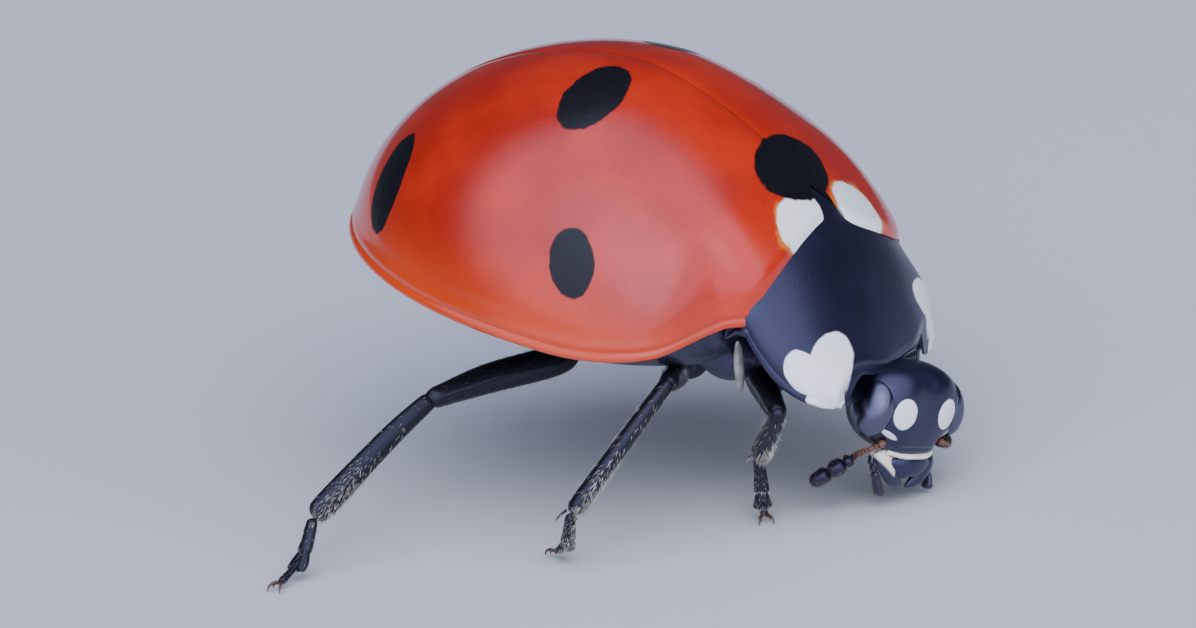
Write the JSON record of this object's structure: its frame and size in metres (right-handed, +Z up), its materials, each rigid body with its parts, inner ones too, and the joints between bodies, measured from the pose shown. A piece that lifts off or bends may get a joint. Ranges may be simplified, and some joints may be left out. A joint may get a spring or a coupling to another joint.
{
  "type": "seven-spot ladybird model",
  "caption": "Life-size still model of a red domed beetle with black spots, standing on six legs with its head lowered and turned.",
  "frame": {"origin": "middle of the model's outline in plan, on the floor that the six feet stand on", "axes": "+Z up, -Y the way the beetle's body points, +X toward its left side"},
  "size_m": [0.0102, 0.0074, 0.0052],
  "materials": {
    "wing_case": "glossy red-orange chitin with seven black spots and two pale marks by the scutellum",
    "black_plate": "glossy black chitin with white patches",
    "eye": "dark faceted compound eye, glossy",
    "leg": "satin black chitin with short pale hairs",
    "mouth_and_feelers": "black to dark brown chitin",
    "underside": "satin black underside with fine hairs"
  },
  "bodies": {
    "root": {"abdomen": "underside", "antenna_left": "mouth_and_feelers", "antenna_right": "mouth_and_feelers", "elytron_left": "wing_case", "elytron_right": "wing_case", "eye_left": "eye", "eye_right": "eye", "femur_left_front": "leg", "femur_left_hind": "leg", "femur_left_middle": "leg", "femur_right_front": "leg", "femur_right_hind": "leg", "femur_right_middle": "leg", "head": "black_plate", "labrum": "mouth_and_feelers", "mandibles": "mouth_and_feelers", "palp_left": "mouth_and_feelers", "palp_right": "mouth_and_feelers", "pronotum": "black_plate", "prosternum": "underside", "scutellum": "black_plate", "tarsus_left_front": "leg", "tarsus_left_hind": "leg", "tarsus_left_middle": "leg", "tarsus_right_front": "leg", "tarsus_right_hind": "leg", "tarsus_right_middle": "leg", "thorax": "underside", "tibia_left_front": "leg", "tibia_left_hind": "leg", "tibia_left_middle": "leg", "tibia_right_front": "leg", "tibia_right_hind": "leg", "tibia_right_middle": "leg"}
  },
  "joints": []
}
